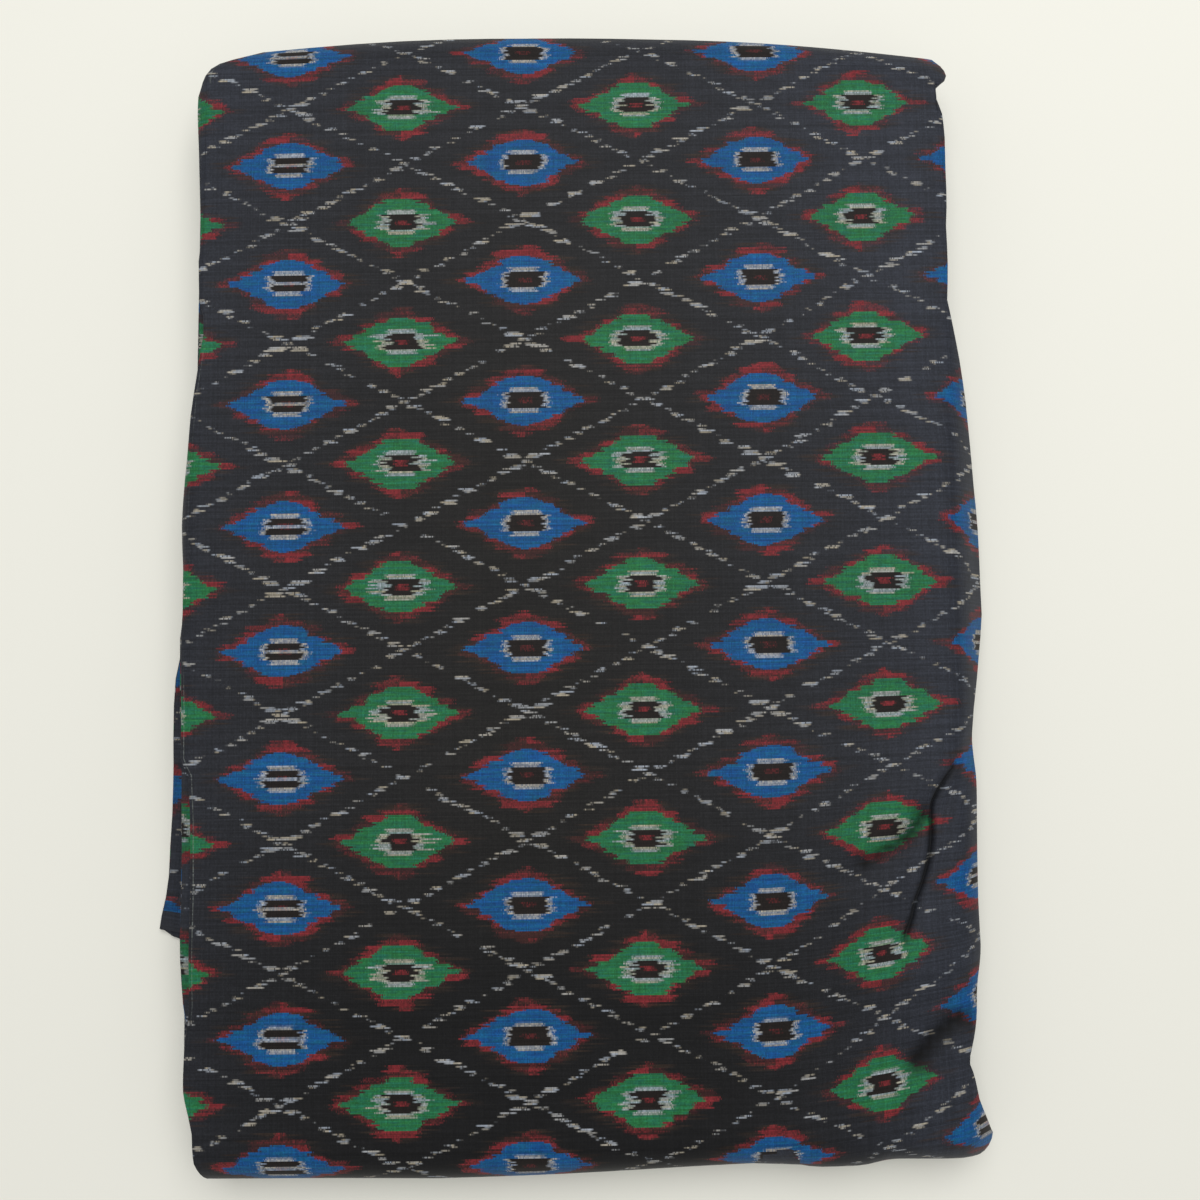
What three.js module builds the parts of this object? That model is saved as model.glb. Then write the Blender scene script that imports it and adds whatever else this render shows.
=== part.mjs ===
// A long ikat cloth, folded in four along its length and then back and forth into a flat bundle.
// Units are millimetres and +Z is up. The bundle lies on the plane z = 0, with +Y at its far end and +X at its
// right side when it is seen from above. The folded strip starts under the pile, rolls up round the near end,
// covers the top, and then runs back and forth downwards to a cut end that shows at the left.
import * as THREE from 'three';

// The strip and the pile
const STRIP_THICKNESS = 1.3;
const EDGE_THICKNESS = 0.8;
const LAYER_PITCH = 2.15;
const NEAR_ROLL_DEPTH = 13.0;
const NEAR_ROLL_STEPS = 10;
const FOLD_STEPS = 4;

// Where a lower layer ends, those above it sink into part of the space it leaves, over a soft run
const SAG_SHARE = 0.74;

// The far end is bowed, and the near end rises towards its right corner
const FAR_BOW_DEPTH = 8.0;
const FAR_BOW_HALF_WIDTH = 135;
const FAR_BOW_MIDDLE = -12;
const NEAR_RISE_DEPTH = 6.4;
const NEAR_RISE_START = -50;
const NEAR_RISE_RUN = 160;
const END_ZONE_START = 60;
const END_ZONE_RUN = 110;

// The pile is a little higher in its middle
const CROWN_HEIGHT = 1.2;
const CROWN_HALF_WIDTH = 150;
const CROWN_HALF_LENGTH = 215;

// Straight edges of the inner layers wander by this much
const EDGE_WANDER = 0.6;
const EDGE_WANDER_LENGTH = 47;

// The runs over which the layers above sink past a layer's sides and far end, and past its near end
const SIDE_RUN = 22;
const NEAR_RUN = 45;
const CUT_END_RUN = 75;

// One row for each layer, from the lowest up: its left and right edges at the far and near ends of the
// bundle, and how far it reaches each way
const LAYERS = [
  { leftFar: -137, leftNear: -132, rightFar: 139, rightNear: 143, far: 192, near: -199 },
  { leftFar: -141, leftNear: -154, rightFar: 141, rightNear: 136, far: 205, near: -132 },
  { leftFar: -139, leftNear: -137, rightFar: 138, rightNear: 141, far: 205, near: -202 },
  { leftFar: -138, leftNear: -135, rightFar: 135, rightNear: 134, far: 210, near: -202 },
  { leftFar: -140, leftNear: -136, rightFar: 137, rightNear: 139, far: 210, near: -205 },
  { leftFar: -137, leftNear: -137, rightFar: 140, rightNear: 135, far: 198, near: -205 },
  { leftFar: -138, leftNear: -134, rightFar: 135, rightNear: 141, far: 198, near: -206 },
  { leftFar: -135, leftNear: -135, rightFar: 139, rightNear: 138, far: 211, near: -206 },
  { leftFar: -137, leftNear: -137, rightFar: 141, rightNear: 141, far: 211, near: -203 },
  { leftFar: -138, leftNear: -133, rightFar: 137, rightNear: 141, far: 201, near: -203 },
  { leftFar: -136, leftNear: -136, rightFar: 138, rightNear: 139.5, far: 201, near: -200 },
  { leftFar: -139, leftNear: -137, rightFar: 142, rightNear: 142.5, far: 210, near: -200 },
  { leftFar: -141, leftNear: -131, rightFar: 139, rightNear: 148, far: 210, near: -199 },
];
const TOP = LAYERS.length - 1;
const CUT_END_LAYER = 1;
const NEAR_SPINE = LAYERS[TOP].near;

// The top layer's uneven edges, from the far end to the near one
const TOP_EDGES = [
  { y: 214, left: -128, right: 134 },
  { y: 208, left: -136, right: 141 },
  { y: 200, left: -140, right: 143 },
  { y: 188, left: -141, right: 142 },
  { y: 170, left: -140, right: 139 },
  { y: 140, left: -139, right: 140 },
  { y: 122, left: -138, right: 142 },
  { y: 105, left: -137, right: 141 },
  { y: 67, left: -137, right: 146 },
  { y: 40, left: -138, right: 149 },
  { y: 12, left: -138, right: 151 },
  { y: -2, left: -138, right: 150 },
  { y: -8, left: -138, right: 152.5 },
  { y: -32, left: -138.5, right: 151 },
  { y: -55, left: -138.5, right: 148 },
  { y: -70, left: -136, right: 148.5 },
  { y: -90, left: -134.5, right: 148 },
  { y: -133, left: -134, right: 148.5 },
  { y: -155, left: -133, right: 146.5 },
  { y: -172, left: -132.5, right: 144 },
  { y: -186, left: -132, right: 147 },
  { y: -204, left: -131.5, right: 151.5 },
  { y: -210, left: -130.5, right: 149 },
  { y: -214, left: -128, right: 143 },
];

// Creases in the top layers: soft troughs, with shoulders that stand up in the top layer alone. Each layer below
// takes less of a trough, so that the layers stay apart
const TROUGH_FADE = 0.5;
const SHOULDER_SPREAD = 2.4;
const TROUGHS = [
  {
    depth: 1.0,
    shoulder: 1.8,
    width: 7.0,
    path: [[148, -56], [140, -68], [131, -80], [130, -94], [126, -111], [119, -130]],
  },
  { depth: 0.6, shoulder: 0.7, width: 6.0, path: [[131, -82], [124, -91], [113, -100], [100, -107]] },
  { depth: 1.2, shoulder: 1.0, width: 8.0, path: [[146, -150], [136, -157], [128, -165], [122, -174]] },
];

// Columns of points across the strip: its left edge, then these places, and then equal steps to its right edge
const COLUMN_PLACES = [-126, -40, 40, 90, 108, 120, 130];
const RIGHT_STEPS = 3;
const COLUMNS = 1 + COLUMN_PLACES.length + RIGHT_STEPS;

// Rows of points along the strip, closer together where a layer bends
const CREASE_ROWS = [-188, -176, -166, -156, -144, -132, -120, -108, -97, -87, -77, -66, -55, -42];
const FAR_ROWS = [165, 178, 187, 194, 199, 204, 207.5];
const TOP_ROWS = [...CREASE_ROWS, -20, 20, 70, 120, ...FAR_ROWS];
const UPPER_ROWS = [-150, -70, 20, 100, ...FAR_ROWS];
const LOWER_ROWS = [-120, 0, 120, 178, 194];
const TOP_LAYERS_WITH_CREASES = 3;
const FIRST_UPPER_LAYER = 7;

function clamp01(value) {
  return Math.min(1, Math.max(0, value));
}

function smoothStep(value) {
  const t = clamp01(value);
  return t * t * (3 - 2 * t);
}

// A column of a table, read between its rows at the place y
function readTable(rows, name, y) {
  if (y >= rows[0].y) {
    return rows[0][name];
  }
  for (let i = 1; i < rows.length; i += 1) {
    if (y >= rows[i].y) {
      const share = (rows[i - 1].y - y) / (rows[i - 1].y - rows[i].y);
      return THREE.MathUtils.lerp(rows[i - 1][name], rows[i][name], share);
    }
  }
  return rows[rows.length - 1][name];
}

// The left or right edge of a layer at the place y
function edgeAt(level, side, y) {
  if (level === TOP) {
    return readTable(TOP_EDGES, side, y);
  }
  const layer = LAYERS[level];
  const share = clamp01((LAYERS[TOP].far - y) / (LAYERS[TOP].far - NEAR_SPINE));
  const straight = THREE.MathUtils.lerp(layer[`${side}Far`], layer[`${side}Near`], share);
  return straight + EDGE_WANDER * Math.sin(y / EDGE_WANDER_LENGTH + 2 * level);
}

// How fully a layer carries those above it: 1 over the layer, falling to 0 past its edges and ends
function supportOf(level, x, y) {
  const layer = LAYERS[level];
  const pastSide = Math.max(0, x - edgeAt(level, 'right', y), edgeAt(level, 'left', y) - x);
  const pastFar = Math.max(0, y - layer.far);
  const pastNear = Math.max(0, layer.near - y);
  const nearRun = level === CUT_END_LAYER ? CUT_END_RUN : NEAR_RUN;
  return 1 - smoothStep(Math.hypot(pastSide / SIDE_RUN, pastFar / SIDE_RUN, pastNear / nearRun));
}

function distanceToPath(path, x, y) {
  let nearest = Infinity;
  for (let i = 1; i < path.length; i += 1) {
    const [ax, ay] = path[i - 1];
    const [bx, by] = path[i];
    const lengthSquared = (bx - ax) ** 2 + (by - ay) ** 2;
    const along = clamp01(((x - ax) * (bx - ax) + (y - ay) * (by - ay)) / lengthSquared);
    nearest = Math.min(nearest, Math.hypot(x - ax - along * (bx - ax), y - ay - along * (by - ay)));
  }
  return nearest;
}

function creaseHeight(level, x, y) {
  let total = 0;
  for (const { depth, shoulder, width, path } of TROUGHS) {
    const distance = distanceToPath(path, x, y);
    const rise = level === TOP ? shoulder : 0;
    const drop = Math.max(0, depth - TROUGH_FADE * (TOP - level)) + rise;
    total += rise * Math.exp(-((distance / (SHOULDER_SPREAD * width)) ** 2));
    total -= drop * Math.exp(-((distance / width) ** 2));
  }
  return total;
}

// Height of the middle of a layer's thickness
function layerHeight(level, x, y) {
  let height = STRIP_THICKNESS / 2 + LAYER_PITCH * level;
  for (let below = 0; below < level; below += 1) {
    height -= SAG_SHARE * LAYER_PITCH * (1 - supportOf(below, x, y));
  }
  const crown = CROWN_HEIGHT * (1 - (x / CROWN_HALF_WIDTH) ** 2) * (1 - (y / CROWN_HALF_LENGTH) ** 2);
  return height + (Math.max(0, crown) * level) / TOP + creaseHeight(level, x, y);
}

// How far the bowed ends shift a point along Y
function endShift(x, y) {
  const farShift = -FAR_BOW_DEPTH * ((x - FAR_BOW_MIDDLE) / FAR_BOW_HALF_WIDTH) ** 2;
  const nearShift = NEAR_RISE_DEPTH * clamp01((x - NEAR_RISE_START) / NEAR_RISE_RUN);
  const farShare = smoothStep((y - END_ZONE_START) / END_ZONE_RUN);
  const nearShare = smoothStep((-y - END_ZONE_START) / END_ZONE_RUN);
  return farShift * farShare + nearShift * nearShare;
}

// The place of a column between a left and a right edge
function columnPlace(column, left, right) {
  if (column === 0) {
    return left;
  }
  if (column <= COLUMN_PLACES.length) {
    return COLUMN_PLACES[column - 1];
  }
  const share = (column - COLUMN_PLACES.length) / RIGHT_STEPS;
  return THREE.MathUtils.lerp(COLUMN_PLACES[COLUMN_PLACES.length - 1], right, share);
}

function layerPoint(level, column, y) {
  const x = columnPlace(column, edgeAt(level, 'left', y), edgeAt(level, 'right', y));
  return new THREE.Vector3(x, y + endShift(x, y), layerHeight(level, x, y));
}

function rowsOf(level) {
  const { near, far } = LAYERS[level];
  let inside = LOWER_ROWS;
  if (level > TOP - TOP_LAYERS_WITH_CREASES) {
    inside = TOP_ROWS;
  } else if (level >= FIRST_UPPER_LAYER) {
    inside = UPPER_ROWS;
  }
  return [near, ...inside.filter((y) => y > near + 3 && y < far - 2), far];
}

// The half circle from one layer's end to that of the layer above or below, at one place across the strip
function foldPoint(start, end, isFar, share) {
  const middle = start.clone().add(end).multiplyScalar(0.5);
  const arm = start.clone().sub(middle);
  const outward = new THREE.Vector3(0, arm.z, -arm.y).multiplyScalar(isFar ? 1 : -1);
  const angle = Math.PI * share;
  return middle.addScaledVector(arm, Math.cos(angle)).addScaledVector(outward, Math.sin(angle));
}

// The lower layer of a far fold ends a little short where the pair slopes, so the fold stays round
function lowerFoldEnd(level, column) {
  const { far } = LAYERS[level];
  const inner = layerPoint(level + 1, column, far - 2);
  const outer = layerPoint(level + 1, column, far);
  const slope = Math.atan2(inner.z - outer.z, outer.y - inner.y);
  return layerPoint(level, column, far - LAYER_PITCH * Math.sin(slope) * Math.cos(slope));
}

// The roll round the near end, from under the pile to its top
function nearRollPoint(column, share) {
  const angle = Math.PI * share;
  const lift = (1 - Math.cos(angle)) / 2;
  const y = NEAR_SPINE - NEAR_ROLL_DEPTH * Math.sin(angle);
  const edge = (side) => THREE.MathUtils.lerp(edgeAt(0, side, y), edgeAt(TOP, side, y), smoothStep(lift));
  const x = columnPlace(column, edge('left'), edge('right'));
  const bottom = layerHeight(0, x, NEAR_SPINE);
  const top = layerHeight(TOP, x, NEAR_SPINE);
  return new THREE.Vector3(x, y + endShift(x, y), THREE.MathUtils.lerp(bottom, top, lift));
}

// The middle surface of the whole strip, as rows of points, from its start under the pile to its cut end
function stripRows() {
  const rows = [];
  const addRow = (point) => rows.push(Array.from({ length: COLUMNS }, (_, column) => point(column)));
  for (const y of rowsOf(0).reverse()) {
    addRow((column) => layerPoint(0, column, y));
  }
  for (let step = 1; step < NEAR_ROLL_STEPS; step += 1) {
    addRow((column) => nearRollPoint(column, step / NEAR_ROLL_STEPS));
  }
  for (let level = TOP; level > 0; level -= 1) {
    const runsFar = (TOP - level) % 2 === 0;
    const ys = rowsOf(level);
    if (!runsFar) {
      ys.reverse();
      ys.shift();
      addRow((column) => lowerFoldEnd(level, column));
    }
    for (const y of ys) {
      addRow((column) => layerPoint(level, column, y));
    }
    if (level > 1) {
      const lastRow = rows[rows.length - 1];
      const nextEnd = (column) =>
        runsFar ? lowerFoldEnd(level - 1, column) : layerPoint(level - 1, column, LAYERS[level - 1].near);
      for (let step = 1; step < FOLD_STEPS; step += 1) {
        addRow((column) => foldPoint(lastRow[column], nextEnd(column), runsFar, step / FOLD_STEPS));
      }
    }
  }
  return rows;
}

// The direction across the strip's thickness at one point of its middle surface
function normalAt(rows, i, j) {
  const before = rows[Math.max(0, i - 1)][j];
  const after = rows[Math.min(rows.length - 1, i + 1)][j];
  const left = rows[i][Math.max(0, j - 1)];
  const right = rows[i][Math.min(COLUMNS - 1, j + 1)];
  const along = after.clone().sub(before);
  const across = right.clone().sub(left);
  return across.cross(along).normalize();
}

// A closed solid: two skins half a thickness from the middle surface, joined round the strip's rim
function stripGeometry() {
  const rows = stripRows();
  const lastRow = rows.length - 1;
  const positions = [];
  for (const side of [1, -1]) {
    for (let i = 0; i <= lastRow; i += 1) {
      for (let j = 0; j < COLUMNS; j += 1) {
        const thickness = j === 0 || j === COLUMNS - 1 ? EDGE_THICKNESS : STRIP_THICKNESS;
        const point = rows[i][j].clone().addScaledVector(normalAt(rows, i, j), (side * thickness) / 2);
        positions.push(point.x, point.y, point.z);
      }
    }
  }
  const outer = (i, j) => i * COLUMNS + j;
  const inner = (i, j) => (lastRow + 1) * COLUMNS + outer(i, j);
  const index = [];
  const addQuad = (a, b, c, d) => index.push(a, b, c, a, c, d);
  for (let i = 0; i < lastRow; i += 1) {
    for (let j = 0; j < COLUMNS - 1; j += 1) {
      addQuad(outer(i, j), outer(i, j + 1), outer(i + 1, j + 1), outer(i + 1, j));
      addQuad(inner(i, j), inner(i + 1, j), inner(i + 1, j + 1), inner(i, j + 1));
    }
    addQuad(outer(i, 0), outer(i + 1, 0), inner(i + 1, 0), inner(i, 0));
    addQuad(outer(i + 1, COLUMNS - 1), outer(i, COLUMNS - 1), inner(i, COLUMNS - 1), inner(i + 1, COLUMNS - 1));
  }
  for (let j = 0; j < COLUMNS - 1; j += 1) {
    addQuad(outer(0, j + 1), outer(0, j), inner(0, j), inner(0, j + 1));
    addQuad(outer(lastRow, j), outer(lastRow, j + 1), inner(lastRow, j + 1), inner(lastRow, j));
  }
  const geometry = new THREE.BufferGeometry();
  geometry.setAttribute('position', new THREE.Float32BufferAttribute(positions, 3));
  geometry.setIndex(index);
  geometry.computeVertexNormals();
  return geometry;
}

// The origin is under the middle of the bundle
function centredOnFloor(geometry) {
  geometry.computeBoundingBox();
  const { min, max } = geometry.boundingBox;
  return geometry.translate(-(min.x + max.x) / 2, -(min.y + max.y) / 2, -min.z);
}

const clothMaterial = new THREE.MeshStandardMaterial({ color: 0x262424, roughness: 0.7, metalness: 0 });
const cloth = new THREE.Mesh(centredOnFloor(stripGeometry()), clothMaterial);
cloth.name = 'cloth';

const bundle = new THREE.Group();
bundle.add(cloth);

export default bundle;
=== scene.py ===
# A long ikat cloth, folded in four along its length and then back and forth into a flat bundle.
# The folded strip starts under the pile, rolls up round the near end, covers the top, and then runs back and
# forth downwards to a cut end that shows at the left. The strip has the form of the solid that it replaces,
# and here each of its layers is four plies of one thin cloth. Shapes are worked out in millimetres.
import math

import bpy
import numpy as np
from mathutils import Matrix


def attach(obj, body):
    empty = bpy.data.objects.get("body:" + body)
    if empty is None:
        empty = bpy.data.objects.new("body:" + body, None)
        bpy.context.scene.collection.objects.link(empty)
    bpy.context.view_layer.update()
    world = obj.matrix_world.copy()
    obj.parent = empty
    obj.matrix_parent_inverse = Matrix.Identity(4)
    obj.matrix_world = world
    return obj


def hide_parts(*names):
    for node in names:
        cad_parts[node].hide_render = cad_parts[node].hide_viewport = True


MM = 0.001

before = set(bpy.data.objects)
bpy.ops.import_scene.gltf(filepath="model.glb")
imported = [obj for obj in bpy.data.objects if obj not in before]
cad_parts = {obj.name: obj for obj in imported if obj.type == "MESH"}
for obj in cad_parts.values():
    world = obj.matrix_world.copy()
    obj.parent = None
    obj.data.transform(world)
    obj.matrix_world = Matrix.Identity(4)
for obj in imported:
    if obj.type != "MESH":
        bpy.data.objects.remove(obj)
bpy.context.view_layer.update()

# The strip and the pile
STRIP_THICKNESS = 1.3
LAYER_PITCH = 2.15
NEAR_ROLL_DEPTH = 13.0
NEAR_ROLL_STEPS = 16
FOLD_STEPS = 5
SAG_SHARE = 0.74

# The cloth: four plies make one strip
PLY_THICKNESS = 0.28
PLY_PITCH = 0.34
FOLD_SAMPLES = 5
# The selvedges lie a little inside the fold beside them, and waver: height and length of each wave, and how
# far it is shifted from layer to layer
SELVEDGE_INSET = 0.35
SELVEDGE_WAVES = [(0.2, 31, 1), (0.1, 9, 0)]
THIRD_PLY_INSET = 0.7

# The far end is bowed, and the near end rises towards its right corner
FAR_BOW_DEPTH = 8.0
FAR_BOW_HALF_WIDTH = 135
FAR_BOW_MIDDLE = -2
NEAR_RISE_DEPTH = 7.0
NEAR_RISE_START = -50
NEAR_RISE_RUN = 160
END_ZONE_START = 60
END_ZONE_RUN = 110
# and a slack part of the near end hangs out a little
BULGE_DEPTH = 2.3
BULGE_MIDDLE = 97
BULGE_WIDTH = 15

# The pile is a little higher in its middle
CROWN_HEIGHT = 1.2
CROWN_HALF_WIDTH = 150
CROWN_HALF_LENGTH = 215

# Straight edges of the inner layers wander by this much
EDGE_WANDER = 0.6
EDGE_WANDER_LENGTH = 47

# The runs over which the layers above sink past a layer's sides and ends
SIDE_RUN = 22
NEAR_RUN = 45
CUT_END_RUN = 75

# One row for each layer, from the lowest up: left far, left near, right far and right near edges, and how far
# the layer reaches at its far and near ends
LAYER_COLUMNS = ("left_far", "left_near", "right_far", "right_near", "far", "near")
LAYERS = [
    dict(zip(LAYER_COLUMNS, row))
    for row in (
        (-137, -132, 139, 143, 192, -199),
        (-141, -154, 141, 136, 205, -132),
        (-139, -137, 138, 141, 205, -202),
        (-138, -135, 135, 134, 210, -202),
        (-140, -136, 137, 139, 210, -205),
        (-137, -137, 140, 135, 198, -205),
        (-138, -134, 135, 141, 198, -206),
        (-135, -135, 139, 138, 211, -206),
        (-137, -137, 141, 141, 211, -203),
        (-138, -133, 137, 141, 201, -203),
        (-136, -136, 138, 139.5, 201, -200),
        (-139, -137, 142, 142.5, 210, -200),
        (-141, -131, 139, 148, 210, -199),
    )
]
TOP = len(LAYERS) - 1
CUT_END_LAYER = 1
NEAR_SPINE = LAYERS[TOP]["near"]

# Uneven edges that show, from the far end to the near one: place along the bundle, and across it
TOP_LEFT = [
    (214, -112), (210, -117), (207.5, -128), (206.6, -132), (204.2, -135.7), (200.6, -138.2), (196.8, -139.2),
    (194.2, -140.3), (188, -140.5), (172, -139.3), (149, -137.9), (134, -137.2), (126, -137.8), (112, -137.2),
    (107, -136.8), (100, -134.8), (97.5, -134.7), (90, -135.7), (84.5, -136.4), (75, -137.4), (62, -138.9),
    (47, -139.8), (39, -140.6), (25, -141.6), (17, -141.4), (9, -140.4), (-5, -139.8), (-12, -139.6),
    (-20, -139.9), (-34, -139.4), (-46, -138.9), (-64, -138.5), (-69, -135.8), (-83, -134.8), (-111, -134),
    (-131, -134.1), (-150, -133.4), (-158, -134), (-163, -134.8), (-176, -135.1), (-181, -134.8),
    (-187, -133.2), (-193.5, -131.6), (-204, -131), (-214, -128),
]
TOP_RIGHT = [
    (214, 134), (210, 139), (206.5, 142.7), (203, 143.6), (195.6, 137.4), (191.4, 139), (186.4, 140.8),
    (178, 141.3), (161, 141.2), (154, 141.5), (143.4, 140.8), (128, 141.2), (118, 141), (112, 140.3),
    (103.6, 141.9), (93.5, 144), (84, 146.1), (70, 148.6), (50, 151), (36.7, 152.2), (25.5, 153.6),
    (8, 154.3), (0, 154.1), (-5, 155), (-14, 154.6), (-23, 152.7), (-30, 151.8), (-39.5, 149.4), (-46, 147.8),
    (-56, 147.4), (-70.5, 148.5), (-98, 147.8), (-117, 147.5), (-136, 147.9), (-144, 147), (-157, 145.4),
    (-169, 143.4), (-176, 141.6), (-181, 143.6), (-185, 144.6), (-191, 146), (-197.5, 149.4), (-201, 150.9),
    (-204, 152.9), (-207, 152.6), (-214, 148.5),
]
SECOND_LEFT = [
    (210, -139), (190, -139.4), (60, -138), (0, -139), (-14, -141), (-20, -142.2), (-27, -143), (-34, -143.2),
    (-42, -142.7), (-50, -140.4), (-75, -139.8), (-112, -138.7), (-130, -138.8), (-148, -137.1),
    (-155, -135.9), (-164, -134.2), (-206, -132),
]
SECOND_RIGHT = [
    (210, 140), (203, 141), (196, 137), (188, 139.5), (160, 140.5), (120, 140), (60, 142), (-206, 142.5),
]
TAIL_LEFT = [
    (210, -141), (40, -143), (0, -146.5), (-12, -147.6), (-26, -149.2), (-34, -150.8), (-42, -151.2),
    (-56, -151), (-72, -150.4), (-87, -150.5), (-94, -150.9), (-102, -150.9), (-109, -151.1), (-116, -151.8),
    (-126, -153.4), (-132, -154),
]
EDGE_PATHS = {
    (TOP, "left"): TOP_LEFT,
    (TOP, "right"): TOP_RIGHT,
    (TOP - 1, "left"): SECOND_LEFT,
    (TOP - 1, "right"): SECOND_RIGHT,
    (CUT_END_LAYER, "left"): TAIL_LEFT,
}

# The left corners of each lower layer are drawn in a little, and so is the corner of the tail
FAR_CORNER_LENGTH = 11
FAR_CORNER_WIDTH = 14
NEAR_CORNER_START = -176
NEAR_CORNER_LENGTH = 26
NEAR_CORNER_WIDTH = 4.5
TAIL_CORNER_START = -146.6
TAIL_CORNER_WIDTH = 6.3
TAIL_CORNER_LIFT = 4.2
TAIL_LIFT_START = -110
TAIL_LIFT_RUN = 22

# Where the top layer bends at its left, inside its edge, and how steeply it falls beyond the bend
CREST = [
    (100, -135.4), (83, -136.9), (70, -137.1), (51, -137.8), (29, -138.5), (17, -138.7), (12, -137.3),
    (0, -137.4), (-5, -139.2), (-28, -139.3), (-36, -139),
]
CREST_INSET = 0.6
PLAIN_CREST_INSET = 0.8
# and how strong the painted highlight is along that bend, where the fold catches light
BEND_HIGHLIGHT = [
    (207.5, 1), (199, 1), (196, 0), (110, 0), (104, 0.4), (80, 0.7), (20, 0.35), (-30, 0.35), (-37, 0.9),
    (-120, 1), (-150, 0.7), (-166, 0),
]
FALL_BEYOND_CREST = 0.35

# Creases that press into the top layers, as in the solid: depth, shoulder height, width and path
TROUGH_FADE = 0.5
SHOULDER_SPREAD = 2.4
MAIN_CREASE = [(148, -56), (140, -68), (131, -80), (130, -94), (126, -111), (119, -130)]
TROUGHS = [
    (1.0, 1.8, 7.0, MAIN_CREASE),
    (0.6, 0.7, 6.0, [(131, -82), (124, -91), (113, -100), (100, -107)]),
    (1.2, 1.0, 8.0, [(146, -150), (136, -157), (128, -165), (122, -174)]),
]

# Folds of the top ply alone, each a valley between two shoulders: height and width of the shoulders, width of
# the valley, and path
CREASE_LINE = [
    (138, -66.5), (134.7, -70.5), (130.9, -77), (130.1, -81), (130.2, -91.3), (129, -100.3), (126.2, -110),
    (123.6, -117), (122.4, -123.3), (119.8, -131),
]
CREASE_BRANCH = [(127, -83.5), (121, -92.4), (115, -96.2), (106, -101.6)]
NEAR_CREASE = [(138.5, -161), (130.5, -167), (127, -171), (123.5, -176)]
TOP_FOLDS = [
    (1.5, 5.0, 1.1, CREASE_LINE),
    (0.8, 4.0, 2.4, CREASE_BRANCH),
    (1.2, 6.0, 3.0, NEAR_CREASE),
]
# Little light gets into them: how much is lost, over what width, along which path
CREASE_SHADES = [(0.85, 1.5, CREASE_LINE), (0.85, 2.8, CREASE_BRANCH), (0.97, 4.2, NEAR_CREASE)]
WAVES = [(0.22, 31, 47), (0.15, 19, -26)]

# Rows along the strip, closer where it bends
FAR_ROWS = [165, 172, 178, 183, 187, 191, 194, 197, 199, 201.5, 204, 206, 207.5]
NEAR_ROWS = [-194, -190]
TOP_ROWS = [*NEAR_ROWS, *range(-186, -39, 3), *range(-34, 160, 8), *FAR_ROWS]
SECOND_ROWS = [-190, *range(-182, -40, 8), -20, 10, 45, 80, 120, *FAR_ROWS[::2]]
UPPER_ROWS = [-185, -165, -140, -110, -75, -35, 10, 60, 110, *FAR_ROWS[::2]]
LOWER_ROWS = [-170, -120, -60, 0, 60, 120, *FAR_ROWS[1::3]]
TAIL_ROWS = [-126, -117, -108, -97, -85, -70, -56, -44, -34, -24, -12, 8, 40, 90, *FAR_ROWS[1::3]]
# The lowest layers that have the second and the upper rows, and the least gaps before a layer's end rows
SECOND_ROWS_START = TOP - 2
UPPER_ROWS_START = 7
NEAR_GAP = 3
FAR_GAP = 2

# Places across the top ply: from the left edge to the crest, which is a column, on to the crease, which is a
# column too, and on to the right edge
BEFORE_CREST = [0.33, 0.67]
AFTER_CREST = [0.5, 1.5, 4, 9, 17]
MIDDLE_PLACES = [-100, -82, -64, -46, -30, -15, 0, 15, 30, 45, 60]
TO_CREASE_SHARES = [
    0.16, 0.31, 0.44, 0.52, 0.6, 0.67, 0.73, 0.785, 0.83, 0.87, 0.9, 0.93, 0.955, 0.975, 0.99, 1,
]
TO_RIGHT_SHARES = [0.03, 0.08, 0.15, 0.24, 0.36, 0.5, 0.64, 0.77, 0.88, 0.96]
# The other plies have fewer places
INNER_PLACES = [-126, -100, -60, -20, 20, 60, 90]
INNER_CREASE_SHARES = [0.35, 0.6, 0.78, 0.88, 0.94, 1]
INNER_RIGHT_SHARES = [0.06, 0.13, 0.25, 0.45, 0.75, 0.96, 1]


def clamp01(value):
    return np.clip(value, 0.0, 1.0)


def smooth_step(value):
    t = clamp01(value)
    return t * t * (3 - 2 * t)


def lerp(a, b, share):
    return a + (b - a) * share


# Where a path that runs from the far end to the near one lies across the bundle, held beyond its ends
def place_on(path, y):
    table = np.array(path[::-1], dtype=float)
    return np.interp(y, table[:, 0], table[:, 1])


# The left or right edge of a layer at the places y
def edge_at(level, side, y):
    layer = LAYERS[level]
    if (level, side) in EDGE_PATHS:
        edge = place_on(EDGE_PATHS[level, side], y)
    else:
        share = clamp01((LAYERS[TOP]["far"] - y) / (LAYERS[TOP]["far"] - NEAR_SPINE))
        edge = lerp(layer[f"{side}_far"], layer[f"{side}_near"], share)
        edge = edge + EDGE_WANDER * np.sin(y / EDGE_WANDER_LENGTH + 2 * level)
    return edge


# How far a layer's left edge is drawn in at its corners
def corner_inset(level, y):
    if level in (TOP, CUT_END_LAYER):
        return 0.0
    past_far = clamp01((y - LAYERS[level]["far"] + FAR_CORNER_LENGTH) / FAR_CORNER_LENGTH)
    past_near = clamp01((NEAR_CORNER_START - y) / NEAR_CORNER_LENGTH)
    return FAR_CORNER_WIDTH * past_far**2 + NEAR_CORNER_WIDTH * past_near


# How fully a layer carries those above it: 1 over the layer, falling to 0 past its edges and ends
def support_of(level, x, y):
    layer = LAYERS[level]
    past_side = np.maximum(0, np.maximum(x - edge_at(level, "right", y), edge_at(level, "left", y) - x))
    past_far = np.maximum(0, y - layer["far"])
    past_near = np.maximum(0, layer["near"] - y)
    near_run = CUT_END_RUN if level == CUT_END_LAYER else NEAR_RUN
    past = (past_side / SIDE_RUN) ** 2 + (past_far / SIDE_RUN) ** 2 + (past_near / near_run) ** 2
    return 1 - smooth_step(np.sqrt(past))


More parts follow.
